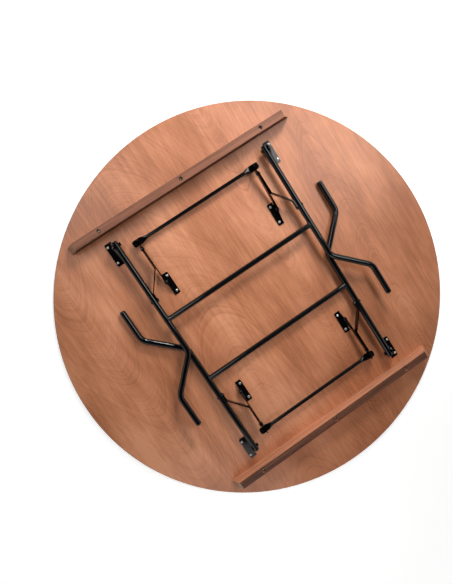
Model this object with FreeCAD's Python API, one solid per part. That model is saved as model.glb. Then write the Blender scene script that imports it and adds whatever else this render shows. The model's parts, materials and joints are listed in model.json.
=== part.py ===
import FreeCAD, Part
import math
import os
from FreeCAD import Vector

# All sizes are in millimetres. The table lies face down: its face is on z = 0, +Z points out of the
# underside, +X runs from leg frame A to leg frame B and +Y runs along the wooden rails.
# Each leg frame is drawn in a side frame: s runs from its pivot to the middle of the table, y along
# the rails and h up from the underside. Hardware is drawn for +y and mirrored for the other hand.

# Round plywood top
TOP_D = 1524.0
TOP_T = 18.0
TOP_EDGE_BEVEL = 3.0

# Wooden stacking rails
RAIL_INSET = 216.0
RAIL_L = 950.0
RAIL_W = 30.0
RAIL_H = 50.8
RAIL_END_BEVEL = 28.0
RAIL_EDGE_R = 3.0
RAIL_SCREW_PITCH = 346.0
RAIL_SCREW_COUNT = 3
RAIL_BORE_D = 15.0
RAIL_BORE_DEPTH = 12.0
RAIL_SCREW_D = 5.0
RAIL_SCREW_HEAD_D = 9.0
RAIL_SCREW_HEAD_H = 3.0
RAIL_SCREW_HEAD_BEVEL = 1.8

# Screws that hold the steel plates
PLATE_SCREW_D = 4.0
PLATE_SCREW_HEAD_D = 10.0
PLATE_SCREW_HEAD_H = 3.2
PLATE_SCREW_HEAD_BEVEL = 2.2
SCREW_BITE = 12.0
SCREW_CLEARANCE = 0.05
PLATE_HOLE_CLEARANCE = 0.3

# Leg pivots: the frames are staggered so that the folded tubes pass each other
PIVOT_FROM_RAIL = 85.0
FOLD_STAGGER = 10.0
PIVOT_H = 33.0

# Leg tubes
TUBE_D = 22.2
TUBE_WALL = 1.6
LEG_Y = 325.0
LEG_FLARE = 121.0
LEG_FLARE_DEG = 45.0
LEG_BEND_R = 45.0
LEG_LENGTH = 717.0
LEG_FOOT_RUN = 131.0
LEG_OVERHANG = 18.0
LOWER_FOOT_GAP = 1.2
CROSSING_GAP = 1.6

# Cross tube of a leg frame
CROSS_D = 20.0
CROSS_WALL = 1.6
CROSS_AT = 323.0
WELD_LEG = 3.2
WELD_RISE = 0.8
WELD_GAP = 0.05

# Plastic feet and end plugs
FOOT_TIP = 6.0
FOOT_BEVEL = 4.0
PLUG_TIP = 3.0
PLUG_BEVEL = 2.5
PLUG_DEPTH = 22.0
PLUG_CLEARANCE = 0.1

# Sheet steel plates
PLATE_T = 3.0
PLATE_CORNER_R = 5.0
PLATE_SCREW_PITCH = 65.5
PLATE_L = 92.0
EAR_SETBACK = 6.0
HINGE_EAR_R = 13.0
HINGE_PLATE_SHIFT = 7.5
HINGE_PLATE_W = 28.0
HINGE_SCREW_OUT = 20.6
BRACE_PLATE_SHIFT = 3.4
BRACE_PLATE_W = 24.0
BRACE_INSET = 75.0
BRACE_SCREW_IN = 14.7
BRACE_EAR_R = 10.5

# Pivot bolts of the legs
HINGE_BOLT_D = 8.0
BOLT_HEAD_D = 15.0
BOLT_HEAD_H = 4.5
BOLT_HEAD_BEVEL = 3.0
NUT_D = 14.0
NUT_H = 6.5
NUT_SIDES = 6

# Folding braces
STRAP_T = 4.0
STRAP_W = 20.0
STRAP_BEND_R = 6.0
BRACE_PIVOT_S = 206.0
BRACE_PIVOT_H = 14.0
LOCK_PIVOT_H = 32.2
LINK_BOLT_AT = 240.0
LINK_BOLT_D = 6.0
LINK_HEAD_D = 11.0
LINK_HEAD_H = 2.6
LINK_HEAD_BEVEL = 1.8
JOGGLE_START = 86.0
JOGGLE_RUN = 70.0
RIVET_D = 8.0
RIVET_HEAD_D = 14.0
RIVET_HEAD_H = 3.0
RIVET_HEAD_BEVEL = 2.0

# Lock bar with flattened ends, riveted under a tab of each upper strap
BAR_D = 14.0
BAR_TAIL = 28.0
BAR_FLAT_W = 25.0
BAR_FLAT_T = 5.0
BAR_FLAT_L = 34.0
BAR_NECK_L = 26.0
BAR_REACH = 24.7
TAB_CLEARANCE = 0.6
TAB_W = 25.0
TAB_CORNER_R = 8.0
TAIL_CORNER_R = 5.0
TAB_RIVET_D = 5.0
TAB_RIVET_HEAD_D = 10.0
TAB_RIVET_HEAD_H = 2.4
TAB_RIVET_HEAD_BEVEL = 1.5

# Fits between moving pieces
RUNNING_CLEARANCE = 0.05
SIDE_GAP = 0.3

# Values worked out from the sizes above
TUBE_R = TUBE_D / 2
RAIL_X = TOP_D / 2 - RAIL_INSET
PIVOT_X = RAIL_X - PIVOT_FROM_RAIL
LEG_BEND_AT = LEG_LENGTH - LEG_FOOT_RUN - LEG_FLARE / math.tan(math.radians(LEG_FLARE_DEG))
EAR_BASE = PLATE_L - 2 * EAR_SETBACK
HINGE_PLATE_X = PIVOT_X - HINGE_PLATE_SHIFT
BRACE_PLATE_X = PIVOT_X - BRACE_PIVOT_S - BRACE_PLATE_SHIFT
HINGE_EAR_Y = LEG_Y + TUBE_R + SIDE_GAP
HINGE_SCREW_Y = HINGE_EAR_Y + HINGE_SCREW_OUT
BRACE_EAR_Y = LEG_Y - BRACE_INSET
BRACE_SCREW_Y = BRACE_EAR_Y - BRACE_SCREW_IN
LEG_INNER_Y = LEG_Y - TUBE_R
UPPER_STRAP_Y = BRACE_EAR_Y + SIDE_GAP
LOWER_STRAP_Y = UPPER_STRAP_Y + STRAP_T + SIDE_GAP
LEG_STRAP_Y = LEG_INNER_Y - SIDE_GAP - STRAP_T
BAR_END_Y = UPPER_STRAP_Y + BAR_REACH
TAB_TOP = -STRAP_W / 2 - TAB_CLEARANCE
TAB_RIVET_Y = LOWER_STRAP_Y + STRAP_T + SIDE_GAP + TAB_RIVET_HEAD_D / 2
BAR_DROP = -TAB_TOP + STRAP_T + BAR_FLAT_T / 2

ORIGIN = Vector(0, 0, 0)
ALONG_S = Vector(1, 0, 0)
ALONG_Y = Vector(0, 1, 0)
UP = Vector(0, 0, 1)
HANDS = {"left": -1, "right": 1}


class Side:
    """One leg frame's place: its letter, its pivot, which way it faces and how far it tilts folded."""

    def __init__(self, letter, facing, pivot_x, tilt):
        self.letter = letter
        self.facing = facing
        self.pivot_x = pivot_x
        self.tilt = tilt

    def leg_point(self, along):
        """The s and h of a point on the folded leg, a distance along it from the pivot."""
        return along * math.cos(self.tilt), PIVOT_H + along * math.sin(self.tilt)

    def lock_point(self):
        """The s and h of the folded lock pivot: the straps' lengths add up to their open span."""
        span = math.dist((BRACE_PIVOT_S, BRACE_PIVOT_H), (0, PIVOT_H + LINK_BOLT_AT))
        leg_s, leg_h = self.leg_point(LINK_BOLT_AT)
        leg_rise = LOCK_PIVOT_H - leg_h
        brace_rise = LOCK_PIVOT_H - BRACE_PIVOT_H
        squares = span ** 2 + leg_s ** 2 - BRACE_PIVOT_S ** 2 + leg_rise ** 2 - brace_rise ** 2
        slope = (BRACE_PIVOT_S - leg_s) / span
        offset = squares / (2 * span)
        half = leg_s + slope * offset
        rest = leg_s ** 2 + leg_rise ** 2 - offset ** 2
        lead = 1 - slope ** 2
        return (half - math.sqrt(half ** 2 - lead * rest)) / lead, LOCK_PIVOT_H


def make_sides():
    """Frame B lies close to the top when folded, and frame A crosses over it midway between the pivots."""
    pivot_a = PIVOT_X + FOLD_STAGGER
    pivot_b = PIVOT_X - FOLD_STAGGER
    drop = PIVOT_H - TUBE_R - LOWER_FOOT_GAP
    tilt_b = -math.asin(drop / LEG_LENGTH)
    fall = PIVOT_X * math.tan(tilt_b)
    tilt_a = math.atan((fall + TUBE_D + CROSSING_GAP) / PIVOT_X)
    return Side("a", 1, pivot_a, tilt_a), Side("b", -1, pivot_b, tilt_b)


def place(shape, side, hand=1):
    """Move a shape from the side frame to the table, mirrored for the left hand."""
    moved = shape.copy()
    if hand * side.facing < 0:
        moved = moved.mirror(ORIGIN, ALONG_Y)
    if side.facing < 0:
        moved.rotate(ORIGIN, UP, 180)
    moved.translate(Vector(-side.facing * side.pivot_x, 0, TOP_T))
    return moved


def pair(shape, side):
    """A piece and its mirror image as two solids of one group."""
    return Part.makeCompound([place(shape, side, hand) for hand in HANDS.values()])


def on_leg(shape, side):
    """Tilt a piece drawn along the leg, from the pivot, to the folded leg."""
    moved = shape.copy()
    moved.rotate(ORIGIN, ALONG_Y, -math.degrees(side.tilt))
    moved.translate(Vector(0, 0, PIVOT_H))
    return moved


def on_link(shape, start, end):
    """Turn a piece drawn along +s from the origin so that it runs from start to end, both (s, h)."""
    angle = math.atan2(end[1] - start[1], end[0] - start[0])
    moved = shape.copy()
    moved.rotate(ORIGIN, ALONG_Y, -math.degrees(angle))
    moved.translate(Vector(start[0], 0, start[1]))
    return moved


def rod(radius, y_from, y_to, s=0.0, h=0.0):
    """A round bar along y."""
    return Part.makeCylinder(radius, y_to - y_from, Vector(s, y_from, h), ALONG_Y)


def eased_disc(radius, height, top_edge, low_edge=0.0):
    """A disc on z = 0 with bevelled rims."""
    outline = [(0, 0), (radius - low_edge, 0)]
    if low_edge:
        outline.append((radius, low_edge))
    outline += [(radius, height - top_edge), (radius - top_edge, height), (0, height), (0, 0)]
    profile = Part.makePolygon([Vector(r, 0, h) for r, h in outline])
    return Part.Face(profile).revolve(ORIGIN, UP, 360)


def domed(radius, height, edge, base, direction):
    """A low round head with an eased rim that stands on base."""
    head = eased_disc(radius, height, edge)
    head.Placement = FreeCAD.Placement(base, FreeCAD.Rotation(UP, direction))
    return head


def stadium(s_from, s_to, radius, y_from, thickness):
    """A flat strap with round ends about two centres on the s axis."""
    top_from = Vector(s_from, 0, radius)
    top_to = Vector(s_to, 0, radius)
    low_to = Vector(s_to, 0, -radius)
    low_from = Vector(s_from, 0, -radius)
    edges = [
        Part.makeLine(top_from, top_to),
        Part.Arc(top_to, Vector(s_to + radius, 0, 0), low_to).toShape(),
        Part.makeLine(low_to, low_from),
        Part.Arc(low_from, Vector(s_from - radius, 0, 0), top_from).toShape(),
    ]
    face = Part.Face(Part.Wire(edges))
    face.translate(Vector(0, y_from, 0))
    return face.extrude(Vector(0, thickness, 0))


def tabletop_panel(sides):
    """The plywood disc with eased rims and blind pilot holes for every screw."""
    panel = eased_disc(TOP_D / 2, TOP_T, TOP_EDGE_BEVEL, TOP_EDGE_BEVEL)
    holes = []
    for side in sides:
        for y in rail_screw_places():
            holes.append((rail_x(side), y, RAIL_SCREW_D))
        for x, y in plate_screw_places(HINGE_PLATE_X, HINGE_SCREW_Y):
            holes.append((-side.facing * x, y, PLATE_SCREW_D))
        for x, y in plate_screw_places(BRACE_PLATE_X, BRACE_SCREW_Y):
            holes.append((-side.facing * x, y, PLATE_SCREW_D))
    drills = []
    for x, y, diameter in holes:
        radius = diameter / 2 + SCREW_CLEARANCE
        drills.append(Part.makeCylinder(radius, SCREW_BITE, Vector(x, y, TOP_T - SCREW_BITE)))
    return panel.cut(drills)


def rail_x(side):
    return -side.facing * RAIL_X


def rail_screw_places():
    middle = (RAIL_SCREW_COUNT - 1) / 2
    return [(i - middle) * RAIL_SCREW_PITCH for i in range(RAIL_SCREW_COUNT)]


def plate_screw_places(plate_x, screw_y):
    """The table places of the four screws of one side's pair of plates, on side B."""
    half = PLATE_SCREW_PITCH / 2
    return [(plate_x + end * half, hand * screw_y) for end in (-1, 1) for hand in HANDS.values()]


def rail(side):
    """A hardwood rail with bevelled ends, eased long edges and counterbored screw holes."""
    half = RAIL_L / 2
    outline = [
        Vector(0, -half, 0),
        Vector(0, half, 0),
        Vector(0, half - RAIL_END_BEVEL, RAIL_H),
        Vector(0, -half + RAIL_END_BEVEL, RAIL_H),
        Vector(0, -half, 0),
    ]
    bar = Part.Face(Part.makePolygon(outline)).extrude(Vector(RAIL_W, 0, 0))
    long_edges = [e for e in bar.Edges if e.BoundBox.ZMin > RAIL_H / 2 and e.BoundBox.YLength > half]
    bar = bar.makeFillet(RAIL_EDGE_R, long_edges)
    bar.translate(Vector(-RAIL_W / 2, 0, 0))
    for y in rail_screw_places():
        bore_at = Vector(0, y, RAIL_H - RAIL_BORE_DEPTH)
        bar = bar.cut(Part.makeCylinder(RAIL_BORE_D / 2, RAIL_BORE_DEPTH, bore_at))
        shank_r = RAIL_SCREW_D / 2 + SCREW_CLEARANCE
        bar = bar.cut(Part.makeCylinder(shank_r, RAIL_H, Vector(0, y, 0)))
    bar.translate(Vector(rail_x(side), 0, TOP_T))
    return bar


def rail_screws(side):
    """Long round head screws that sit at the bottom of the rail's counterbores."""
    screws = []
    for y in rail_screw_places():
        seat = TOP_T + RAIL_H - RAIL_BORE_DEPTH
        shank_l = seat - TOP_T + SCREW_BITE
        shank = Part.makeCylinder(RAIL_SCREW_D / 2, shank_l, Vector(0, y, seat - shank_l))
        head_at = Vector(0, y, seat)
        head = domed(RAIL_SCREW_HEAD_D / 2, RAIL_SCREW_HEAD_H, RAIL_SCREW_HEAD_BEVEL, head_at, UP)
        screws.append(shank.fuse(head).removeSplitter())
    group = Part.makeCompound(screws)
    group.translate(Vector(rail_x(side), 0, 0))
    return group


def plate_screws(side, plate_x, screw_y):
    """The four pan head screws of one side's pair of plates."""
    screws = []
    for x, y in plate_screw_places(plate_x, screw_y):
        seat = Vector(-side.facing * x, y, TOP_T + PLATE_T)
        head = domed(PLATE_SCREW_HEAD_D / 2, PLATE_SCREW_HEAD_H, PLATE_SCREW_HEAD_BEVEL, seat, UP)
        shank_l = PLATE_T + SCREW_BITE
        shank = Part.makeCylinder(PLATE_SCREW_D / 2, shank_l, seat - UP * shank_l)
        screws.append(shank.fuse(head).removeSplitter())
    return Part.makeCompound(screws)


def ear_face(base_s, base_w, pivot_s, pivot_h, radius, y):
    """The outline of an upright ear: a wide foot drawn up to a round end about its pivot."""
    points = []
    for end in (-1, 1):
        foot = Vector(base_s + end * base_w / 2, y, PLATE_T / 2)
        centre = Vector(pivot_s, y, pivot_h)
        reach = centre - foot
        spread = math.asin(radius / reach.Length)
        slope = math.atan2(reach.z, reach.x) - end * spread
        length = math.sqrt(reach.Length ** 2 - radius ** 2)
        points.append((foot, foot + Vector(math.cos(slope), 0, math.sin(slope)) * length))
    crown = Vector(pivot_s, y, pivot_h + radius)
    (foot_1, touch_1), (foot_2, touch_2) = points
    edges = [
        Part.makeLine(foot_2, foot_1),
        Part.makeLine(foot_1, touch_1),
        Part.Arc(touch_1, crown, touch_2).toShape(),
        Part.makeLine(touch_2, foot_2),
    ]
    return Part.Face(Part.Wire(edges))


def plate_blank(plate_s, width, y_from, round_y):
    """A flat plate with two screw holes and rounded corners along the edge at round_y."""
    blank = Part.makeBox(PLATE_L, width, PLATE_T, Vector(plate_s - PLATE_L / 2, y_from, 0))
    corners = []
    for edge in blank.Edges:
        upright = edge.BoundBox.ZLength > PLATE_T / 2 and edge.BoundBox.XLength < PLATE_T / 2
        if upright and abs(edge.BoundBox.YMin - round_y) < PLATE_T / 2:
            corners.append(edge)
    return blank.makeFillet(PLATE_CORNER_R, corners)


def drill_plate(plate, plate_s, screw_y):
    for end in (-1, 1):
        at = Vector(plate_s + end * PLATE_SCREW_PITCH / 2, screw_y, 0)
        radius = PLATE_SCREW_D / 2 + PLATE_HOLE_CLEARANCE
        plate = plate.cut(Part.makeCylinder(radius, PLATE_T, at))
    return plate


def hinge_bracket(side):
    """An angle plate outside the leg tube, with an upright ear for the leg's pivot bolt."""
    plate_s = side.pivot_x - HINGE_PLATE_X
    plate = plate_blank(plate_s, HINGE_PLATE_W, HINGE_EAR_Y, HINGE_EAR_Y + HINGE_PLATE_W)
    ear = ear_face(plate_s, EAR_BASE, 0, PIVOT_H, HINGE_EAR_R, HINGE_EAR_Y).extrude(Vector(0, PLATE_T, 0))
    bracket = drill_plate(plate, plate_s, HINGE_SCREW_Y).fuse(ear).removeSplitter()
    hole = rod(HINGE_BOLT_D / 2 + RUNNING_CLEARANCE, HINGE_EAR_Y, HINGE_EAR_Y + PLATE_T, 0, PIVOT_H)
    return bracket.cut(hole)


def brace_bracket(side):
    """An angle plate for the brace, with its ear along the edge nearer the leg tube."""
    plate_s = side.pivot_x - BRACE_PLATE_X
    y_from = BRACE_EAR_Y - BRACE_PLATE_W
    ear_y = BRACE_EAR_Y - PLATE_T
    plate = plate_blank(plate_s, BRACE_PLATE_W, y_from, y_from)
    ear = ear_face(plate_s, EAR_BASE, BRACE_PIVOT_S, BRACE_PIVOT_H, BRACE_EAR_R, ear_y)
    ear = ear.extrude(Vector(0, PLATE_T, 0))
    bracket = drill_plate(plate, plate_s, BRACE_SCREW_Y).fuse(ear).removeSplitter()
    hole = rod(RIVET_D / 2 + RUNNING_CLEARANCE, ear_y, BRACE_EAR_Y, BRACE_PIVOT_S, BRACE_PIVOT_H)
    return bracket.cut(hole)


def hinge_bolt():
    """The bolt through the hinge ear and the leg tube, with its round head outside."""
    head_y = HINGE_EAR_Y + PLATE_T
    tip_y = LEG_INNER_Y - SIDE_GAP - NUT_H
    shank = rod(HINGE_BOLT_D / 2, tip_y, head_y, 0, PIVOT_H)
    head = domed(BOLT_HEAD_D / 2, BOLT_HEAD_H, BOLT_HEAD_BEVEL, Vector(0, head_y, PIVOT_H), ALONG_Y)
    return shank.fuse(head).removeSplitter()


def hinge_nut():
    """The hexagonal lock nut on the pivot bolt, inside the leg tube."""
    y_from = LEG_INNER_Y - SIDE_GAP - NUT_H
    corners = []
    for i in range(NUT_SIDES + 1):
        turn = 2 * math.pi * i / NUT_SIDES
        corners.append(Vector(math.cos(turn), 0, math.sin(turn)) * (NUT_D / 2) + Vector(0, y_from, PIVOT_H))
    nut = Part.Face(Part.makePolygon(corners)).extrude(Vector(0, NUT_H, 0))
    return nut.cut(rod(HINGE_BOLT_D / 2 + SCREW_CLEARANCE, y_from, y_from + NUT_H, 0, PIVOT_H))


def leg_bar(radius):
    """A round bar along the leg's centre line: straight, a bend out, the flare, a bend back, the foot."""
    flare = math.radians(LEG_FLARE_DEG)
    turn = LEG_BEND_R * math.tan(flare / 2)
    heading = Vector(math.cos(flare), math.sin(flare), 0)
    corner_1 = Vector(LEG_BEND_AT, LEG_Y, 0)
    corner_2 = corner_1 + heading * (LEG_FLARE / math.sin(flare))
    start = Vector(-LEG_OVERHANG + PLUG_TIP, LEG_Y, 0)
    end = Vector(LEG_LENGTH - FOOT_TIP, corner_2.y, 0)
    bend_1 = corner_1 - ALONG_S * turn
    bend_2 = corner_2 - heading * turn
    runs = ((start, bend_1), (corner_1 + heading * turn, bend_2), (corner_2 + ALONG_S * turn, end))
    pieces = []
    for run_from, run_to in runs:
        run = run_to - run_from
        pieces.append(Part.makeCylinder(radius, run.Length, run_from, run))
    for at, along, side in ((bend_1, ALONG_S, 1), (bend_2, heading, -1)):
        centre = at + UP.cross(along) * (side * LEG_BEND_R)
        ring = Part.Face(Part.Wire(Part.makeCircle(radius, at, along)))
        pieces.append(ring.revolve(centre, UP * side, LEG_FLARE_DEG))
    return pieces[0].fuse(pieces[1:]).removeSplitter()


def leg_tube(side):
    """The bent steel tube with its bolt holes."""
    tube = leg_bar(TUBE_R).cut(leg_bar(TUBE_R - TUBE_WALL))
    reach = (LEG_Y - TUBE_D, LEG_Y + TUBE_D)
    tube = tube.cut(rod(HINGE_BOLT_D / 2 + RUNNING_CLEARANCE, *reach))
    tube = tube.cut(rod(LINK_BOLT_D / 2 + SCREW_CLEARANCE, *reach, LINK_BOLT_AT))
    return on_leg(tube, side)


def tube_insert(tip, edge):
    """A plastic plug along +s: a rounded tip as wide as the tube, and a stem that fills its bore."""
    cap = domed(TUBE_R, tip, edge, ORIGIN, ALONG_S)
    stem_r = TUBE_R - TUBE_WALL - PLUG_CLEARANCE
    stem = Part.makeCylinder(stem_r, PLUG_DEPTH, Vector(-PLUG_DEPTH, 0, 0), ALONG_S)
    return cap.fuse(stem).removeSplitter()


def foot(side):
    """The floor glide in the lower end of a leg tube."""
    glide = tube_insert(FOOT_TIP, FOOT_BEVEL)
    glide.translate(Vector(LEG_LENGTH - FOOT_TIP, LEG_Y + LEG_FLARE, 0))
    return on_leg(glide, side)


def end_plug(side):
    """The plug in the pivot end of a leg tube, bored for the pivot bolt that passes through it."""
    plug = tube_insert(PLUG_TIP, PLUG_BEVEL)
    plug.rotate(ORIGIN, UP, 180)
    plug.translate(Vector(-LEG_OVERHANG + PLUG_TIP, LEG_Y, 0))
    plug = plug.cut(rod(HINGE_BOLT_D / 2 + RUNNING_CLEARANCE, LEG_Y - TUBE_D, LEG_Y + TUBE_D))
    return on_leg(plug, side)


def cross_tube(side):
    """The tube welded between both legs, coped to their walls, with a weld bead at each end."""
    outer = rod(CROSS_D / 2, -LEG_Y, LEG_Y, CROSS_AT)
    for hand in HANDS.values():
        outward = ALONG_Y * hand
        bead_r = CROSS_D / 2 + WELD_RISE
        start = Vector(CROSS_AT, 0, 0) + outward * (LEG_INNER_Y - WELD_LEG)
        middle = start + outward * (WELD_LEG / 2)
        slope = Part.makeCone(CROSS_D / 2, bead_r, WELD_LEG / 2, start, outward)
        shoulder = Part.makeCylinder(bead_r, TUBE_R + WELD_LEG / 2, middle, outward)
        outer = outer.fuse([slope, shoulder])
    tube = outer.removeSplitter().cut(rod(CROSS_D / 2 - CROSS_WALL, -LEG_Y, LEG_Y, CROSS_AT))
    for hand in HANDS.values():
        wall = Part.makeCylinder(TUBE_R + WELD_GAP, LEG_BEND_AT, Vector(0, hand * LEG_Y, 0), ALONG_S)
        tube = tube.cut(wall)
    tube = max(tube.Solids, key=lambda solid: solid.Volume)
    return on_leg(tube, side)


def link_bolt(side):
    """The bolt across a leg tube where the lower strap hangs, with its head outside."""
    head_y = LEG_Y + TUBE_R
    shank = rod(LINK_BOLT_D / 2, LEG_INNER_Y, head_y, LINK_BOLT_AT)
    head_at = Vector(LINK_BOLT_AT, head_y, 0)
    head = domed(LINK_HEAD_D / 2, LINK_HEAD_H, LINK_HEAD_BEVEL, head_at, ALONG_Y)
    return on_leg(shank.fuse(head).removeSplitter(), side)


def upper_strap(side):
    """The strap from the bracket to the lock pivot, with a tail whose tab carries the lock bar."""
    length = math.dist((BRACE_PIVOT_S, BRACE_PIVOT_H), side.lock_point())
    half = STRAP_W / 2
    strap = stadium(0, length, half, UPPER_STRAP_Y, STRAP_T)
    tail_s = -BAR_TAIL - TAB_W / 2
    tab_low = TAB_TOP - STRAP_T
    tail = Part.makeBox(-tail_s, STRAP_T, half - tab_low, Vector(tail_s, UPPER_STRAP_Y, tab_low))
    nose = [e for e in tail.Edges if e.BoundBox.XMax < tail_s / 2 and e.BoundBox.ZMin > half / 2]
    tail = tail.makeFillet(TAIL_CORNER_R, [e for e in nose if e.BoundBox.YLength > STRAP_T / 2])
    throat = Part.makeBox(-tail_s, STRAP_T, half, Vector(-BAR_TAIL + TAB_W / 2, UPPER_STRAP_Y, -half * 2))
    tab = Part.makeBox(TAB_W, BAR_REACH, STRAP_T, Vector(tail_s, UPPER_STRAP_Y, tab_low))
    outer = []
    for edge in tab.Edges:
        if edge.BoundBox.YMin > BAR_END_Y - STRAP_T and edge.BoundBox.ZLength > STRAP_T / 2:
            outer.append(edge)
    tab = tab.makeFillet(TAB_CORNER_R, outer)
    strap = strap.fuse([tail.cut(throat), tab]).removeSplitter()
    for s in (0, length):
        strap = strap.cut(rod(RIVET_D / 2 + RUNNING_CLEARANCE, UPPER_STRAP_Y, UPPER_STRAP_Y + STRAP_T, s))
    rivet_at = Vector(-BAR_TAIL, TAB_RIVET_Y, tab_low)
    return strap.cut(Part.makeCylinder(TAB_RIVET_D / 2 + SCREW_CLEARANCE, STRAP_T, rivet_at))


def on_upper(shape, side):
    """Place a piece drawn from the lock pivot towards the bracket pivot."""
    return on_link(shape, side.lock_point(), (BRACE_PIVOT_S, BRACE_PIVOT_H))


def round_section(radius, y):
    """A circle about the y axis in four arcs that start at its diagonals."""
    def point(turn):
        return Vector(math.cos(turn), 0, math.sin(turn)) * radius + Vector(0, y, 0)

    quarter = math.pi / 2
    arcs = []
    for i in range(4):
        start = (i + 0.5) * quarter
        arcs.append(Part.Arc(point(start), point(start + quarter / 2), point(start + quarter)).toShape())
    return Part.Wire(arcs)


def flat_section(width, thickness, y):
    """A rectangle about the y axis whose corners follow those of a round section."""
    s = width / 2
    h = thickness / 2
    corners = [Vector(s, y, h), Vector(-s, y, h), Vector(-s, y, -h), Vector(s, y, -h), Vector(s, y, h)]
    return Part.makePolygon(corners)


def lock_bar(side):
    """The round bar that ties both straps, pressed flat at its ends, with a drilled hole in each."""
    flat_y = BAR_END_Y - BAR_FLAT_L
    neck_y = flat_y - BAR_NECK_L
    tip_y = BAR_END_Y - BAR_FLAT_W / 2
    bar = rod(BAR_D / 2, -neck_y, neck_y)
    for hand in HANDS.values():
        flat = flat_section(BAR_FLAT_W, BAR_FLAT_T, hand * flat_y)
        neck = Part.makeLoft([round_section(BAR_D / 2, hand * neck_y), flat], True, True)
        blade = Part.Face(flat).extrude(Vector(0, hand * (tip_y - flat_y), 0))
        tip = Part.makeCylinder(BAR_FLAT_W / 2, BAR_FLAT_T, Vector(0, hand * tip_y, -BAR_FLAT_T / 2))
        bar = bar.fuse([neck, blade, tip]).removeSplitter()
        hole = Vector(0, hand * TAB_RIVET_Y, -BAR_D / 2)
        bar = bar.cut(Part.makeCylinder(TAB_RIVET_D / 2 + SCREW_CLEARANCE, BAR_D, hole))
    bar.translate(Vector(-BAR_TAIL, 0, -BAR_DROP))
    return on_upper(bar, side)


def tab_rivet(side):
    """The rivet that holds a flattened bar end under its tab."""
    top = Vector(-BAR_TAIL, TAB_RIVET_Y, TAB_TOP)
    foot_drop = STRAP_T + BAR_FLAT_T
    shank = Part.makeCylinder(TAB_RIVET_D / 2, foot_drop, top - UP * foot_drop)
    head_r = TAB_RIVET_HEAD_D / 2
    head = domed(head_r, TAB_RIVET_HEAD_H, TAB_RIVET_HEAD_BEVEL, top, UP)
    tail = domed(head_r, TAB_RIVET_HEAD_H, TAB_RIVET_HEAD_BEVEL, top - UP * foot_drop, UP * -1)
    return on_upper(shank.fuse([head, tail]).removeSplitter(), side)


def rivet(y_from, y_to):
    """A rivet along y with a domed head at each end of its grip."""
    shank = rod(RIVET_D / 2, y_from, y_to)
    inner = domed(RIVET_HEAD_D / 2, RIVET_HEAD_H, RIVET_HEAD_BEVEL, Vector(0, y_from, 0), ALONG_Y * -1)
    outer = domed(RIVET_HEAD_D / 2, RIVET_HEAD_H, RIVET_HEAD_BEVEL, Vector(0, y_to, 0), ALONG_Y)
    return shank.fuse([inner, outer]).removeSplitter()


def brace_rivet():
    """The rivet through the bracket's ear and the upper strap."""
    pin = rivet(BRACE_EAR_Y - PLATE_T, UPPER_STRAP_Y + STRAP_T + SIDE_GAP)
    pin.translate(Vector(BRACE_PIVOT_S, 0, BRACE_PIVOT_H))
    return pin


def lock_rivet(side):
    """The rivet through both straps at the lock pivot."""
    return on_upper(rivet(UPPER_STRAP_Y, LOWER_STRAP_Y + STRAP_T + SIDE_GAP), side)


def lower_strap(side):
    """The strap from the lock pivot to the leg, joggled out to the inner wall of the tube."""
    length = math.dist(side.lock_point(), side.leg_point(LINK_BOLT_AT))
    half = STRAP_W / 2
    joggle_end = JOGGLE_START + JOGGLE_RUN
    slope = math.atan2(LEG_STRAP_Y - LOWER_STRAP_Y, JOGGLE_RUN)
    lag = STRAP_T * math.tan(slope / 2)
    points = [
        Vector(-half, LOWER_STRAP_Y, 0),
        Vector(JOGGLE_START, LOWER_STRAP_Y, 0),
        Vector(joggle_end, LEG_STRAP_Y, 0),
        Vector(length + half, LEG_STRAP_Y, 0),
        Vector(length + half, LEG_STRAP_Y + STRAP_T, 0),
        Vector(joggle_end - lag, LEG_STRAP_Y + STRAP_T, 0),
        Vector(JOGGLE_START - lag, LOWER_STRAP_Y + STRAP_T, 0),
        Vector(-half, LOWER_STRAP_Y + STRAP_T, 0),
        Vector(-half, LOWER_STRAP_Y, 0),
    ]
    strip = Part.Face(Part.makePolygon(points)).extrude(Vector(0, 0, STRAP_W))
    bends = []
    for edge in strip.Edges:
        upright = edge.BoundBox.ZLength > half
        if upright and JOGGLE_START / 2 < edge.BoundBox.XMin < (joggle_end + length) / 2:
            bends.append(edge)
    strip = strip.makeFillet(STRAP_BEND_R, bends)
    strip.translate(Vector(0, 0, -half))
    strap = strip.common(stadium(0, length, half, 0, LEG_Y))
    lock_hole = rod(RIVET_D / 2 + RUNNING_CLEARANCE, LOWER_STRAP_Y, LOWER_STRAP_Y + STRAP_T)
    leg_hole = rod(LINK_BOLT_D / 2 + SCREW_CLEARANCE, LEG_STRAP_Y, LEG_STRAP_Y + STRAP_T, length)
    return strap.cut([lock_hole, leg_hole])


def link_stud():
    """The stud in the strap's leg end: its head inside and its shank flush with the outer face."""
    shank = rod(LINK_BOLT_D / 2, LEG_STRAP_Y, LEG_STRAP_Y + STRAP_T)
    head_at = Vector(0, LEG_STRAP_Y, 0)
    head = domed(LINK_HEAD_D / 2, LINK_HEAD_H, LINK_HEAD_BEVEL, head_at, ALONG_Y * -1)
    return shank.fuse(head).removeSplitter()


def on_lower(shape, side):
    """Place a piece drawn from the lock pivot towards the leg's link bolt."""
    return on_link(shape, side.lock_point(), side.leg_point(LINK_BOLT_AT))


def at_leg_end(shape, side):
    """Place a piece drawn about the strap's leg end."""
    s, h = side.leg_point(LINK_BOLT_AT)
    moved = shape.copy()
    moved.translate(Vector(s, 0, h))
    return moved


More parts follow.
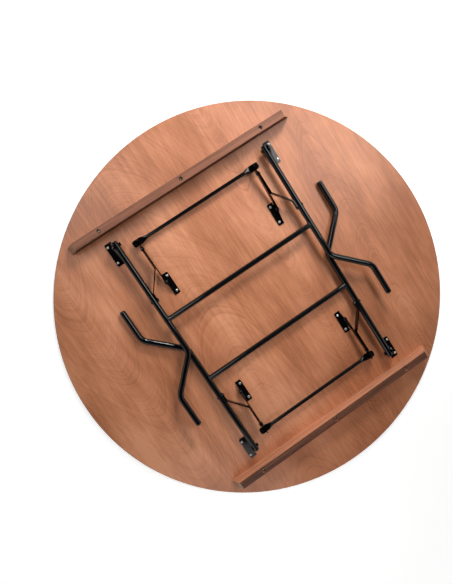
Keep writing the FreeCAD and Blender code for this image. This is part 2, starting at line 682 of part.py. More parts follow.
def side_nodes(side):
    """Every node of one leg frame, its braces and its hardware, by name."""
    tag = side.letter
    nodes = {
        f"rail_{tag}": rail(side),
        f"rail_screws_{tag}": rail_screws(side),
        f"hinge_screws_{tag}": plate_screws(side, HINGE_PLATE_X, HINGE_SCREW_Y),
        f"brace_screws_{tag}": plate_screws(side, BRACE_PLATE_X, BRACE_SCREW_Y),
        f"hinge_bolts_{tag}": pair(hinge_bolt(), side),
        f"hinge_nuts_{tag}": pair(hinge_nut(), side),
        f"brace_rivets_{tag}": pair(brace_rivet(), side),
        f"cross_tube_{tag}": place(cross_tube(side), side),
        f"tube_plugs_{tag}": pair(end_plug(side), side),
        f"feet_{tag}": pair(foot(side), side),
        f"link_bolts_{tag}": pair(link_bolt(side), side),
        f"lock_bar_{tag}": place(lock_bar(side), side),
        f"lock_rivets_{tag}": pair(lock_rivet(side), side),
        f"tab_rivets_{tag}": pair(tab_rivet(side), side),
    }
    for name, hand in HANDS.items():
        nodes[f"hinge_bracket_{tag}_{name}"] = place(hinge_bracket(side), side, hand)
        nodes[f"brace_bracket_{tag}_{name}"] = place(brace_bracket(side), side, hand)
        nodes[f"leg_tube_{tag}_{name}"] = place(leg_tube(side), side, hand)
        nodes[f"upper_strap_{tag}_{name}"] = place(on_upper(upper_strap(side), side), side, hand)
        nodes[f"lower_strap_{tag}_{name}"] = place(on_lower(lower_strap(side), side), side, hand)
        nodes[f"link_stud_{tag}_{name}"] = place(at_leg_end(link_stud(), side), side, hand)
    return nodes


def main():
    sides = make_sides()
    nodes = {"tabletop_panel": tabletop_panel(sides)}
    for side in sides:
        nodes.update(side_nodes(side))
    os.makedirs("parts", exist_ok=True)
    for name, shape in nodes.items():
        shape.exportStep(f"parts/{name}.step")


main()
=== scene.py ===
import json
import math

import bmesh
import bpy
from mathutils import Matrix, Vector


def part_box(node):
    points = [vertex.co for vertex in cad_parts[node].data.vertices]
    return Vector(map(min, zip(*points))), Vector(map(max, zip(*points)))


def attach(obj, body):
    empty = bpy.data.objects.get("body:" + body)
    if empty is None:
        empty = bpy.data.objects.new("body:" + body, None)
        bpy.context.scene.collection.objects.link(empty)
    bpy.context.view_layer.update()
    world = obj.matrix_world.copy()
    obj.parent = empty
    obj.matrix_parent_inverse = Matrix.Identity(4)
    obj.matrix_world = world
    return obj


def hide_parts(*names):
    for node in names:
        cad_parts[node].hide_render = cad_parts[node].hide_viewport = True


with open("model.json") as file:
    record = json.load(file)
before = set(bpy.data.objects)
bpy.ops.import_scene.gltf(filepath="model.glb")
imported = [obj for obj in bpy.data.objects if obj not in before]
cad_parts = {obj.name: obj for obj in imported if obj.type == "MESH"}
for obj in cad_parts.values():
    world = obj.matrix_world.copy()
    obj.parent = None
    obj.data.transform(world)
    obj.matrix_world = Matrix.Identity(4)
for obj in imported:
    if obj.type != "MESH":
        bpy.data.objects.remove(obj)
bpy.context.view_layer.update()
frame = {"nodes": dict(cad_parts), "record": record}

# All sizes are in metres, in the table's own frame: it lies face down with +Z out of the underside,
# +X runs from leg frame A to leg frame B and +Y runs along the wooden rails.

# Camera: where it stands, the point that it looks at and the direction that is up in the picture
CAMERA_PLACE = (-0.3195, -0.1997, 1.5758)
CAMERA_TARGET = (-0.1086, -0.0843, 0.018)
CAMERA_UP_DEG = 146.68
SENSOR = 0.036
LENS = 0.025427
MM = 1000.0

# Light: soft lamps as (place, point lit, diameter, spread in degrees, power in watts)
LAMPS = {
    "left_lamp": ((-1.49, -0.61, 2.70), (-0.40, -0.20, 0.018), 1.00, 55.0, 2.0),
    "high_lamp": ((-0.40, 1.80, 2.56), (-0.38, 0.28, 0.018), 1.30, 55.0, 3.3),
    "key_lamp": ((-1.45, 1.18, 1.15), (-0.12, 0.0, 0.018), 0.58, 120.0, 14.0),
    "low_lamp": ((1.10, -0.72, 0.75), (0.35, -0.25, 0.018), 0.90, 120.0, 1.5),
}
LAMP_COLOUR = (1.0, 0.985, 0.965)
WHITE = (1.0, 1.0, 1.0)

# Surround: the level that lights the table, and what is seen of it as (degrees above the floor, level)
AMBIENT = 0.11
SURROUND = ((24.0, 1.0), (36.0, 0.12), (50.0, 0.02))

# Floor: half its side, its colour, and its glow between two distances from the table's middle
FLOOR_HALF = 8.0
FLOOR_COLOUR = 0.82
FLOOR_ROUGH = 0.9
FLOOR_SHINE = 0.0
FLOOR_GLOW = (0.9, 2.0, 0.64, 0.95)

# Noise patterns are (scale along each axis, shift, detail, roughness, distortion).
# Spans are (low, high), followed by the new low and high where these aren't 0 and 1.
# Colours are (tone, colour) stops from low to high, and bumps are (strength, depth).
STILL = (0.0, 0.0, 0.0)
NOISE_LOW = 0.25
NOISE_HIGH = 0.75
MIDDLE = 0.5

# Veneer figure: arches along the grain, one beside the other across the sheet, longer towards +Y
ARCH_AXIS = -0.537
ARCH_PERIOD = 0.69
ARCH_RISE = (-0.05, 0.35, -0.37, -0.80)
ARCH_SWAY = 0.07
ARCH_WANDER = 0.06
ARCH_RIPPLE = 0.008
SWAY_NOISE = ((0.9, 1.3, 1.0), (0.4, 0.1, 0.0), 1.0, 0.5, 0.0)
WANDER_NOISE = ((1.8, 3.4, 1.0), STILL, 1.0, 0.5, 0.0)
RIPPLE_NOISE = ((9.0, 24.0, 1.0), STILL, 2.0, 0.5, 0.0)

# Growth rings: their pitch and unevenness, the late wood within a ring, and how strongly each ring shows
RING_PITCH = 0.019
RING_DRIFT = 1.6
RING_DRIFT_SCALE = 0.3
LATE_RISE = (0.10, 0.82)
LATE_FALL = (1.0, 0.86)
LATE_POWER = 1.6
RING_STRENGTH = (0.35, 0.65, 0.20, 1.0)
RING_STRENGTH_SCALE = 0.45

# Veneer: its patterns, how far each makes it lighter or darker, its colours and its surface
VENEER_CLOUDS = ((1.7, 4.2, 4.2), (0.7, 0.2, 0.0), 4.0, 0.5, 0.0)
VENEER_BLOTCH = ((5.5, 9.0, 9.0), (0.3, 0.8, 0.0), 4.0, 0.6, 0.0)
VENEER_STREAKS = ((4.0, 90.0, 90.0), STILL, 6.0, 0.62, 0.25)
VENEER_FIBRES = ((24.0, 700.0, 700.0), STILL, 3.0, 0.6, 0.0)
VENEER_PORES = ((70.0, 1500.0, 1500.0), STILL, 2.0, 0.5, 0.0)
VENEER_PORE_SPAN = (0.60, 0.72)
CLOUD_TONE = 0.55
BLOTCH_TONE = 0.28
STREAK_TONE = 0.27
FIBRE_TONE = 0.12
RING_TONE = -0.31
PORE_TONE = -0.16
Y_FADE_TONE = 0.12
VENEER_COLOURS = (
    (0.0, (0.410, 0.143, 0.062)),
    (0.5, (0.600, 0.232, 0.112)),
    (1.0, (0.780, 0.338, 0.182)),
)
VENEER_RED = (0.450, 0.148, 0.058)
REDNESS_NOISE = ((2.2, 3.1, 3.1), (0.1, 0.5, 0.0), 3.0, 0.5, 0.0)
REDNESS_SPAN = (0.5, 0.75, 0.0, 0.35)
VENEER_ROUGH = 0.40
STREAK_ROUGH = 0.04
BLOTCH_ROUGH = 0.03
STREAK_RELIEF = 0.5
FIBRE_RELIEF = 0.4
PORE_RELIEF = -0.5
VENEER_BUMP = (0.18, 0.0005)
VENEER_SHINE = 0.55

# Plywood edge: dark glue lines between pale plies, where the surface no longer faces up or down
PLY_COUNT = 11
EDGE_FACING = (0.85, 0.55)
GLUE_NOISE = ((40.0, 40.0, 300.0), STILL, 4.0, 0.5, 0.0)
GLUE_SPAN = (0.16, 0.34)
GLUE_SWING = 0.3
EDGE_COLOURS = ((0.0, (0.140, 0.060, 0.033)), (1.0, (0.430, 0.225, 0.125)))

# Rail wood: stained faces, planed sides and pale sawn ends.
# Board A has the paler faces and the darker sides, board B the reverse: partly a real stain difference
# between the boards, partly painted shade on A's sides and B's faces and painted light on B's sides.
RAIL_RINGS = ((60.0, 2.2, 60.0), (0.2, 0.4, 0.1), 3.0, 0.5, 0.4)
RAIL_STREAKS = ((230.0, 7.0, 230.0), STILL, 6.0, 0.6, 0.3)
RAIL_PORES = ((1100.0, 45.0, 1100.0), STILL, 2.0, 0.5, 0.0)
RAIL_PORE_SPAN = (0.58, 0.72)
RAIL_RING_TONE = 0.28
RAIL_STREAK_TONE = 0.30
RAIL_PORE_TONE = -0.22
BOARD_STAIN_AND_SHADE_SPAN = (-0.05, 0.05, 1.0, -1.0)
BOARD_FACE_STAIN_AND_SHADE = 0.26
BOARD_SIDE_STAIN_AND_SHADE = -0.42
FACE_FACING = (0.35, 0.65)
END_FACING = (0.55, 0.8)
FACE_COLOURS = ((0.0, (0.080, 0.031, 0.019)), (1.0, (0.345, 0.144, 0.086)))
# The dark low end of these side colours carries the painted shade on board A's sides, the light high end the
# painted light on board B's sides.
SIDE_STAIN_AND_SHADE_COLOURS = (
    (0.0, (0.040, 0.012, 0.005)),
    (0.5, (0.170, 0.064, 0.032)),
    (1.0, (0.800, 0.362, 0.206)),
)
SAWN_SPECKS = ((520.0, 60.0, 520.0), STILL, 4.0, 0.7, 0.0)
SAWN_COLOURS = ((0.32, (0.260, 0.122, 0.066)), (0.66, (0.560, 0.330, 0.200)))
RAIL_ROUGH = 0.46
RAIL_STREAK_ROUGH = 0.07
RAIL_BUMP = (0.3, 0.0005)
RAIL_SHINE = 0.22

# Black enamel on the steel
STEEL_PEEL = ((420.0, 420.0, 420.0), STILL, 2.0, 0.5, 0.0)
STEEL_WEAR = ((34.0, 34.0, 34.0), STILL, 6.0, 0.65, 0.0)
STEEL_SCUFFS = ((180.0, 180.0, 60.0), STILL, 5.0, 0.7, 0.0)
STEEL_COLOURS = ((0.52, (0.0018, 0.0018, 0.0021)), (0.80, (0.0055, 0.0055, 0.0060)))
STEEL_WEAR_ROUGH = (0.35, 0.75, 0.06, 0.11)
STEEL_SCUFF_ROUGH = (0.58, 0.8, 0.0, 0.12)
STEEL_BUMP = (0.03, 0.0004)
STEEL_SHINE = 0.36

# Zinc on the screws
ZINC_TARNISH = ((260.0, 260.0, 260.0), STILL, 5.0, 0.6, 0.0)
ZINC_MARKS = ((1400.0, 300.0, 300.0), STILL, 3.0, 0.5, 0.0)
ZINC_COLOURS = ((0.36, (0.48, 0.46, 0.43)), (0.62, (0.80, 0.79, 0.77)))
ZINC_ROUGH = (0.3, 0.7, 0.26, 0.42)
ZINC_BUMP = (0.12, 0.0002)

# Black plastic of the glides and plugs
PLASTIC_GRAIN = ((1500.0, 1500.0, 1500.0), STILL, 2.0, 0.5, 0.0)
PLASTIC_SCUFFS = ((130.0, 130.0, 130.0), STILL, 6.0, 0.7, 0.0)
PLASTIC_COLOURS = ((0.50, (0.010, 0.010, 0.011)), (0.75, (0.028, 0.028, 0.029)))
PLASTIC_ROUGH = (0.3, 0.7, 0.42, 0.6)
PLASTIC_BUMP = (0.2, 0.0002)

# Cross-recessed screws: head radius, head height, shank radius and length below the head
PLATE_SCREW = (0.0050, 0.0032, 0.0020, 0.0150)
RAIL_SCREW = (0.0045, 0.0030, 0.0025, 0.0508)
SCREW_GATHER = 0.015
SCREW_TURN_DEG = 37.0
SCREW_POINT = 0.004
SCREW_RIM = 0.28
SCREW_SIDES = 40
SCREW_DOME_STEPS = 8
RECESS_REACH = 0.62
RECESS_WIDTH = 0.22
RECESS_DEPTH = 0.62
RECESS_TAPER = 0.45

# Weld beads between the cross tubes and the leg tubes
LEG_Y = 0.325
LEG_TUBE_R = 0.0111
CROSS_TUBE_R = 0.0100
BEAD_R = 0.0021
BEAD_RIPPLE = 0.16
BEAD_RIPPLES = 26
BEAD_STEPS = 156
BEAD_SIDES = 10

# Edges sharper than this stay sharp
SMOOTH_DEG = 35.0


class Nodes:
    """Short calls that add and join the nodes of one material."""

    def __init__(self, name):
        self.material = bpy.data.materials.new(name)
        self.material.use_nodes = True
        self.tree = self.material.node_tree
        self.shader = self.tree.nodes["Principled BSDF"]

    def add(self, kind, **inputs):
        node = self.tree.nodes.new(kind)
        for key, value in inputs.items():
            self.feed(node.inputs[key.replace("_", " ")], value)
        return node

    def feed(self, socket, value):
        if isinstance(value, bpy.types.NodeSocket):
            self.tree.links.new(value, socket)
        else:
            socket.default_value = value

    def place(self):
        return self.tree.nodes.new("ShaderNodeTexCoord").outputs["Object"]

    def split(self, vector):
        return self.add("ShaderNodeSeparateXYZ", Vector=vector).outputs

    def facing(self):
        """How far the surface faces along the table's own axes, one output for each axis."""
        return self.split(self.tree.nodes.new("ShaderNodeTexCoord").outputs["Normal"])

    def noise(self, vector, pattern):
        scale, shift, detail, roughness, distortion = pattern
        stretched = self.add("ShaderNodeMapping", Vector=vector, Scale=scale, Location=shift)
        node = self.add("ShaderNodeTexNoise", Vector=stretched.outputs["Vector"], Scale=1.0, Detail=detail,
                        Roughness=roughness, Distortion=distortion)
        return node.outputs["Fac"]

    def line_noise(self, value, scale):
        """Noise along a single number."""
        node = self.tree.nodes.new("ShaderNodeTexNoise")
        node.noise_dimensions = "1D"
        self.feed(node.inputs["W"], value)
        self.feed(node.inputs["Scale"], scale)
        return node.outputs["Fac"]

    def math(self, operation, first, second=0.0, third=0.0):
        node = self.tree.nodes.new("ShaderNodeMath")
        node.operation = operation
        for socket, value in zip(node.inputs, (first, second, third)):
            self.feed(socket, value)
        return node.outputs["Value"]

    def times(self, first, second):
        return self.math("MULTIPLY", first, second)

    def total(self, *values):
        result = values[0]
        for value in values[1:]:
            result = self.math("ADD", result, value)
        return result

    def span(self, value, low, high, new_low=0.0, new_high=1.0):
        node = self.add("ShaderNodeMapRange", Value=value)
        for key, number in zip(("From Min", "From Max", "To Min", "To Max"), (low, high, new_low, new_high)):
            self.feed(node.inputs[key], number)
        return node.outputs["Result"]

    def swing(self, noise, reach):
        """A noise value turned into a swing of about plus or minus reach."""
        return self.span(noise, NOISE_LOW, NOISE_HIGH, -reach, reach)

    def ramp(self, factor, stops):
        """Stops are (place, colour) pairs from low to high."""
        node = self.add("ShaderNodeValToRGB", Fac=factor)
        fill_ramp(node.color_ramp, stops)
        return node.outputs["Color"]

    def mix(self, factor, first, second):
        node = self.tree.nodes.new("ShaderNodeMix")
        node.data_type = "RGBA"
        self.feed(node.inputs["Factor"], factor)
        self.feed(node.inputs["A"], first)
        self.feed(node.inputs["B"], second)
        return node.outputs["Result"]

    def bump(self, height, strength, depth):
        node = self.add("ShaderNodeBump", Height=height, Strength=strength, Distance=depth)
        return node.outputs["Normal"]

    def finish(self, **inputs):
        for key, value in inputs.items():
            self.feed(self.shader.inputs[key.replace("_", " ")], value)
        return self.material


def colour(rgb):
    return (*rgb, 1.0)


def grey(level):
    return (level, level, level)


def fill_ramp(ramp, stops):
    while len(ramp.elements) < len(stops):
        ramp.elements.new(MIDDLE)
    for element, (place, shade) in zip(ramp.elements, stops):
        element.position = place
        element.color = colour(shade)


def veneer_rings(n, place):
    """Late wood lines where the cut crosses the growth rings: arches along the grain that wander a little."""
    x, y, _ = n.split(place)
    sway = n.swing(n.noise(place, SWAY_NOISE), ARCH_SWAY)
    wander = n.swing(n.noise(place, WANDER_NOISE), ARCH_WANDER)
    ripple = n.swing(n.noise(place, RIPPLE_NOISE), ARCH_RIPPLE)
    turn = n.times(n.total(y, sway, -ARCH_AXIS), math.tau / ARCH_PERIOD)
    arch = n.times(n.math("COSINE", turn), n.span(y, *ARCH_RISE))
    depth = n.times(n.total(x, arch, wander, ripple), 1.0 / RING_PITCH)
    drift = n.swing(n.line_noise(depth, RING_DRIFT_SCALE), RING_DRIFT)
    ring = n.math("FRACT", n.total(depth, drift))
    late = n.times(n.span(ring, *LATE_RISE), n.span(ring, *LATE_FALL))
    strength = n.span(n.line_noise(depth, RING_STRENGTH_SCALE), *RING_STRENGTH)
    return n.times(n.math("POWER", late, LATE_POWER), strength)


def ply_edge(n, place):
    """Stacked plies with dark glue lines between them."""
    thickness = cad_size("tabletop_panel").z
    ply = n.math("FRACT", n.times(n.split(place)["Z"], PLY_COUNT / thickness / 2))
    line = n.span(n.math("PINGPONG", ply, MIDDLE), *GLUE_SPAN)
    layer = n.total(line, n.swing(n.noise(place, GLUE_NOISE), GLUE_SWING))
    return n.ramp(layer, EDGE_COLOURS)


def plywood():
    """Varnished plywood: rotary-cut veneer on the faces and stacked plies on the edge."""
    n = Nodes("varnished_plywood")
    place = n.place()
    rings = veneer_rings(n, place)
    clouds = n.noise(place, VENEER_CLOUDS)
    blotch = n.noise(place, VENEER_BLOTCH)
    streaks = n.noise(place, VENEER_STREAKS)
    fibres = n.noise(place, VENEER_FIBRES)
    pores = n.span(n.noise(place, VENEER_PORES), *VENEER_PORE_SPAN)
    radius = cad_size("tabletop_panel").y / 2
    # Lighter towards -Y and darker towards +Y across the whole top.
    y_fade = n.span(n.split(place)["Y"], -radius, radius, Y_FADE_TONE, -Y_FADE_TONE)
    tone = n.total(MIDDLE, n.swing(clouds, CLOUD_TONE), n.swing(blotch, BLOTCH_TONE),
                   n.swing(streaks, STREAK_TONE), n.swing(fibres, FIBRE_TONE),
                   n.times(rings, RING_TONE), n.times(pores, PORE_TONE), y_fade)
    redness = n.span(n.noise(place, REDNESS_NOISE), *REDNESS_SPAN)
    veneer = n.mix(redness, n.ramp(tone, VENEER_COLOURS), colour(VENEER_RED))
    edge = n.span(n.math("ABSOLUTE", n.facing()["Z"]), *EDGE_FACING)
    base = n.mix(edge, veneer, ply_edge(n, place))
    rough = n.total(VENEER_ROUGH, n.swing(streaks, STREAK_ROUGH), n.swing(blotch, BLOTCH_ROUGH))
    relief = n.total(n.times(streaks, STREAK_RELIEF), n.times(fibres, FIBRE_RELIEF),
                     n.times(pores, PORE_RELIEF))
    return n.finish(Base_Color=base, Roughness=rough, Normal=n.bump(relief, *VENEER_BUMP),
                    Specular_IOR_Level=VENEER_SHINE)


def hardwood():
    """A solid wood with its grain along the rails, stained faces, planed sides and sawn ends, with a
    board-to-board tone that is partly real stain and partly painted light and shade.
    """
    n = Nodes("rail_hardwood")
    place = n.place()
    rings = n.noise(place, RAIL_RINGS)
    streaks = n.noise(place, RAIL_STREAKS)
    pores = n.span(n.noise(place, RAIL_PORES), *RAIL_PORE_SPAN)
    tone = n.total(MIDDLE, n.swing(rings, RAIL_RING_TONE), n.swing(streaks, RAIL_STREAK_TONE),
                   n.times(pores, RAIL_PORE_TONE))
    # Board A against board B by X: a real stain difference plus painted shade on A's sides and B's faces and
    # painted light on B's sides.
    board_stain_and_shade = n.span(n.split(place)["X"], *BOARD_STAIN_AND_SHADE_SPAN)
    face_stain_and_shade = n.ramp(n.math("MULTIPLY_ADD", board_stain_and_shade, BOARD_FACE_STAIN_AND_SHADE, tone), FACE_COLOURS)
    side_stain_and_shade = n.ramp(n.math("MULTIPLY_ADD", board_stain_and_shade, BOARD_SIDE_STAIN_AND_SHADE, tone), SIDE_STAIN_AND_SHADE_COLOURS)
    sawn = n.ramp(n.noise(place, SAWN_SPECKS), SAWN_COLOURS)
    facing = n.facing()
    long_grain = n.mix(n.span(n.math("ABSOLUTE", facing["Z"]), *FACE_FACING), side_stain_and_shade, face_stain_and_shade)
    base = n.mix(n.span(n.math("ABSOLUTE", facing["Y"]), *END_FACING), long_grain, sawn)
    rough = n.total(RAIL_ROUGH, n.swing(streaks, RAIL_STREAK_ROUGH))
    relief = n.total(n.times(streaks, STREAK_RELIEF), n.times(pores, PORE_RELIEF))
    return n.finish(Base_Color=base, Roughness=rough, Normal=n.bump(relief, *RAIL_BUMP),
                    Specular_IOR_Level=RAIL_SHINE)


def black_steel():
    """Gloss black enamel with a faint orange peel and dulled patches."""
    n = Nodes("black_enamel")
    place = n.place()
    peel = n.noise(place, STEEL_PEEL)
    wear = n.noise(place, STEEL_WEAR)
    scuffs = n.noise(place, STEEL_SCUFFS)
    rough = n.total(n.span(wear, *STEEL_WEAR_ROUGH), n.span(scuffs, *STEEL_SCUFF_ROUGH))
    return n.finish(Base_Color=n.ramp(wear, STEEL_COLOURS), Roughness=rough,
                    Normal=n.bump(peel, *STEEL_BUMP), Specular_IOR_Level=STEEL_SHINE)


def screw_steel():
    """Bright zinc plate with tool marks and a little tarnish."""
    n = Nodes("zinc_plate")
    place = n.place()
    tarnish = n.noise(place, ZINC_TARNISH)
    marks = n.noise(place, ZINC_MARKS)
    return n.finish(Base_Color=n.ramp(tarnish, ZINC_COLOURS), Metallic=1.0,
                    Roughness=n.span(marks, *ZINC_ROUGH), Normal=n.bump(marks, *ZINC_BUMP))


def black_plastic():
    """Moulded black plastic with a fine grain and scuffed ends."""
    n = Nodes("moulded_plastic")
    place = n.place()
    grain = n.noise(place, PLASTIC_GRAIN)
    scuffs = n.noise(place, PLASTIC_SCUFFS)
    return n.finish(Base_Color=n.ramp(scuffs, PLASTIC_COLOURS), Roughness=n.span(scuffs, *PLASTIC_ROUGH),
                    Normal=n.bump(grain, *PLASTIC_BUMP))


def cad_size(node):
    low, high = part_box(node)
    return Vector(high) - Vector(low)


def dress(materials):
    """Give every node of the model the material of its slot in the record."""
    for entry in frame["record"]["subparts"]:
        node = frame["nodes"][entry["node"]]
        node.data.materials.clear()
        node.data.materials.append(materials[entry["material_slot"]])


def smooth(mesh):
    """Shade round faces smoothly and keep sharp edges sharp."""
    mesh.shade_smooth()
    mesh.set_sharp_from_angle(angle=math.radians(SMOOTH_DEG))


def add_object(name, data):
    item = bpy.data.objects.new(name, data)
    bpy.context.scene.collection.objects.link(item)
    return item


def new_mesh(name, shape):
    """A mesh made from a finished shape, which is then freed."""
    mesh = bpy.data.meshes.new(name)
    shape.to_mesh(mesh)
    shape.free()
    return mesh


def add_piece(name, mesh, body, material):
    """A new piece of the table that moves with a body."""
    smooth(mesh)
    mesh.materials.clear()
    mesh.materials.append(material)
    piece = add_object(name, mesh)
    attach(piece, body)
    return piece


def lathe(profile, sides):
    """A closed solid turned about Z from (radius, height) points that begin and end on the axis."""
    shape = bmesh.new()
    turns = [math.tau * i / sides for i in range(sides)]
    rows = []
    for radius, height in profile:
        if radius:
            ring = [(radius * math.cos(turn), radius * math.sin(turn), height) for turn in turns]
            rows.append([shape.verts.new(point) for point in ring])
        else:
            rows.append([shape.verts.new((0, 0, height))] * sides)
    for upper, lower in zip(rows, rows[1:]):
        for i in range(sides):
            j = (i + 1) % sides
            corners = (upper[i], lower[i], lower[j], upper[j])
            shape.faces.new(list(dict.fromkeys(corners)))
    bmesh.ops.recalc_face_normals(shape, faces=shape.faces)
    return shape


def recess_cutter(radius, height):
    """Two crossed wedges that narrow downwards, standing out of the top of a screw head."""
    shape = bmesh.new()
    depth = height * RECESS_DEPTH
    for quarter in range(2):
        arm = bmesh.ops.create_cube(shape, size=1.0)["verts"]
        for vertex in arm:
            taper = RECESS_TAPER if vertex.co.z < 0 else 1.0
            vertex.co.x *= 2 * radius * RECESS_REACH * taper
            vertex.co.y *= 2 * radius * RECESS_WIDTH * taper
            vertex.co.z = height - depth if vertex.co.z < 0 else height + depth
        bmesh.ops.rotate(shape, verts=arm, matrix=Matrix.Rotation(quarter * math.pi / 2, 3, "Z"))
    return shape


def screw_mesh(head_r, head_h, shank_r, shank_l):
    """A domed screw head with a cross recess and a pointed shank; the seat is at z = 0."""
    rim = head_h * SCREW_RIM
    dome = []
    for i in range(SCREW_DOME_STEPS + 1):
        turn = math.pi / 2 * i / SCREW_DOME_STEPS
        dome.append((head_r * math.sin(turn), rim + (head_h - rim) * math.cos(turn)))
    shank = [(head_r, 0), (shank_r, 0), (shank_r, SCREW_POINT - shank_l), (0, -shank_l)]
    screw = add_object("screw_blank", new_mesh("screw_blank", lathe(dome + shank, SCREW_SIDES)))
    cutter = add_object("screw_cutter", new_mesh("screw_cutter", recess_cutter(head_r, head_h)))
    cut = screw.modifiers.new("recess", "BOOLEAN")
    cut.solver = "EXACT"
    cut.use_self = True
    cut.object = cutter
    bpy.context.view_layer.update()
    mesh = bpy.data.meshes.new_from_object(screw.evaluated_get(bpy.context.evaluated_depsgraph_get()))
    for item in (screw, cutter):
        blank = item.data
        bpy.data.objects.remove(item)
        bpy.data.meshes.remove(blank)
    return mesh


def screw_places(node):
    """The middle of each screw of a group, from the points that lie together."""
    groups = []
    for vertex in frame["nodes"][node].data.vertices:
        flat = vertex.co.xy
        for group in groups:
            if (group[0] - flat).length < SCREW_GATHER:
                group.append(flat)
                break
        else:
            groups.append([flat])
    places = []
    for group in groups:
        xs = [point.x for point in group]
        ys = [point.y for point in group]
        places.append(((min(xs) + max(xs)) / 2, (min(ys) + max(ys)) / 2))
    return places


def add_screws(node, head_h, mesh, material):
    """Cross-recessed screws in the places of a group of plain ones, each turned its own way."""
    top = Vector(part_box(node)[1]).z
    shape = bmesh.new()
    for i, (x, y) in enumerate(screw_places(node)):
        single = mesh.copy()
        turn = Matrix.Rotation(math.radians(i * SCREW_TURN_DEG), 4, "Z")
        single.transform(Matrix.Translation((x, y, top - head_h)) @ turn)
        shape.from_mesh(single)
        bpy.data.meshes.remove(single)
    name = f"{node}_crossed"
    piece = add_piece(name, new_mesh(name, shape), "tabletop", material)
    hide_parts(node)


def add_all_screws(material):
    for kind, sizes in (("rail", RAIL_SCREW), ("hinge", PLATE_SCREW), ("brace", PLATE_SCREW)):
        mesh = screw_mesh(*sizes)
        for side in "ab":
            add_screws(f"{kind}_screws_{side}", sizes[1], mesh, material)
        bpy.data.meshes.remove(mesh)


def weld_bead(centre, hand):
    """A rippled bead along the saddle where a cross tube meets a leg tube."""
    shape = bmesh.new()
    along = Vector((0, 1, 0))
    rows = []
    for i in range(BEAD_STEPS):
        turn = math.tau * i / BEAD_STEPS
        out = Vector((math.cos(turn), 0, math.sin(turn)))
        reach = math.sqrt(LEG_TUBE_R ** 2 - (CROSS_TUBE_R * out.z) ** 2)
        middle = Vector((centre.x, hand * (LEG_Y - reach), centre.z)) + out * CROSS_TUBE_R
        swell = BEAD_R * (1 + BEAD_RIPPLE * (abs(math.sin(BEAD_RIPPLES * turn / 2)) - MIDDLE))
        row = []
        for k in range(BEAD_SIDES):
            roll = math.tau * k / BEAD_SIDES
            spoke = out * math.cos(roll) + along * math.sin(roll)
            row.append(shape.verts.new(middle + spoke * swell))
        rows.append(row)
    for row, following in zip(rows, rows[1:] + rows[:1]):
        for k in range(BEAD_SIDES):
            j = (k + 1) % BEAD_SIDES
            shape.faces.new((row[k], row[j], following[j], following[k]))
    bmesh.ops.recalc_face_normals(shape, faces=shape.faces)
    return shape


def add_welds(material):
    for side in "ab":
        low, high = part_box(f"cross_tube_{side}")
        centre = (Vector(low) + Vector(high)) / 2
        for hand_name, hand in (("left", -1), ("right", 1)):
            name = f"weld_bead_{side}_{hand_name}"
            add_piece(name, new_mesh(name, weld_bead(centre, hand)), f"leg_{side}", material)


def add_camera():
    data = bpy.data.cameras.new("camera")
    data.sensor_fit = "AUTO"
    data.sensor_width = SENSOR * MM
    data.lens = LENS * MM
    camera = add_object("camera", data)
    place = Vector(CAMERA_PLACE)
    back = (place - Vector(CAMERA_TARGET)).normalized()
    turn = math.radians(CAMERA_UP_DEG)
    right = Vector((math.cos(turn), math.sin(turn), 0)).cross(back).normalized()
    up = back.cross(right)
    camera.matrix_world = Matrix.Translation(place) @ Matrix((right, up, back)).transposed().to_4x4()
    bpy.context.scene.camera = camera


def add_lamp(name, place, target, size, spread_deg, power):
    """A round soft lamp that points at a place on the table."""
    data = bpy.data.lights.new(name, "AREA")
    data.shape = "DISK"
    data.size = size
    data.energy = power
    data.color = LAMP_COLOUR
    data.spread = math.radians(spread_deg)
    lamp = add_object(name, data)
    lamp.location = place
    lamp.rotation_mode = "QUATERNION"
    lamp.rotation_quaternion = (Vector(place) - Vector(target)).to_track_quat("Z", "Y")


def seen_directly(tree):
    """One for rays that show the background: straight, mirrored or through glass."""
    path = tree.nodes.new("ShaderNodeLightPath")
    total = path.outputs["Is Camera Ray"]
    for name in ("Is Glossy Ray", "Is Transmission Ray"):
        join = tree.nodes.new("ShaderNodeMath")
        join.operation = "MAXIMUM"
        tree.links.new(total, join.inputs[0])
        tree.links.new(path.outputs[name], join.inputs[1])
        total = join.outputs["Value"]
    return total


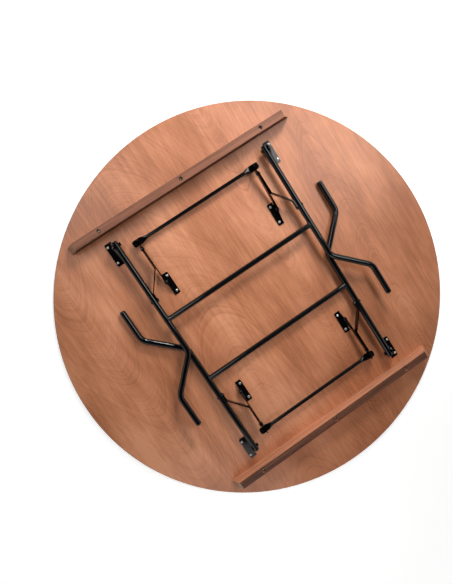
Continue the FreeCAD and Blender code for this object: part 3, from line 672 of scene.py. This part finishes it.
def add_floor():
    """A white floor that keeps the table's shadow and stays white into the distance."""
    mesh = bpy.data.meshes.new("floor")
    h = FLOOR_HALF
    mesh.from_pydata([(-h, -h, 0), (h, -h, 0), (h, h, 0), (-h, h, 0)], [], [(0, 1, 2, 3)])
    add_object("floor", mesh)
    n = Nodes("white_floor")
    away = n.tree.nodes.new("ShaderNodeVectorMath")
    away.operation = "LENGTH"
    n.feed(away.inputs[0], n.place())
    glow = n.span(away.outputs["Value"], *FLOOR_GLOW)
    n.finish(Base_Color=colour(grey(FLOOR_COLOUR)), Roughness=FLOOR_ROUGH, Specular_IOR_Level=FLOOR_SHINE,
             Emission_Color=colour(WHITE), Emission_Strength=n.times(seen_directly(n.tree), glow))
    mesh.materials.append(n.material)


def add_surround():
    """A surround that fades from white at the floor to dark overhead, and lights evenly and dimly."""
    world = bpy.data.worlds.new("surround")
    bpy.context.scene.world = world
    world.use_nodes = True
    tree = world.node_tree
    background = tree.nodes["Background"]
    background.inputs["Color"].default_value = colour(WHITE)
    direction = tree.nodes.new("ShaderNodeTexCoord").outputs["Generated"]
    split = tree.nodes.new("ShaderNodeSeparateXYZ")
    tree.links.new(direction, split.inputs["Vector"])
    walls = tree.nodes.new("ShaderNodeValToRGB")
    tree.links.new(split.outputs["Z"], walls.inputs["Fac"])
    fill_ramp(walls.color_ramp, [(math.sin(math.radians(rise)), grey(level)) for rise, level in SURROUND])
    strength = tree.nodes.new("ShaderNodeMapRange")
    tree.links.new(seen_directly(tree), strength.inputs["Value"])
    strength.inputs["To Min"].default_value = AMBIENT
    tree.links.new(walls.outputs["Color"], strength.inputs["To Max"])
    tree.links.new(strength.outputs["Result"], background.inputs["Strength"])


def main():
    bpy.context.scene.view_settings.view_transform = "Standard"
    add_camera()
    add_surround()
    add_floor()
    for name, lamp in LAMPS.items():
        add_lamp(name, *lamp)
    materials = {
        "plywood": plywood(),
        "rail_wood": hardwood(),
        "black_steel": black_steel(),
        "screw_steel": screw_steel(),
        "black_plastic": black_plastic(),
    }
    for node in frame["nodes"].values():
        smooth(node.data)
    dress(materials)
    add_all_screws(materials["screw_steel"])
    add_welds(materials["black_steel"])


main()
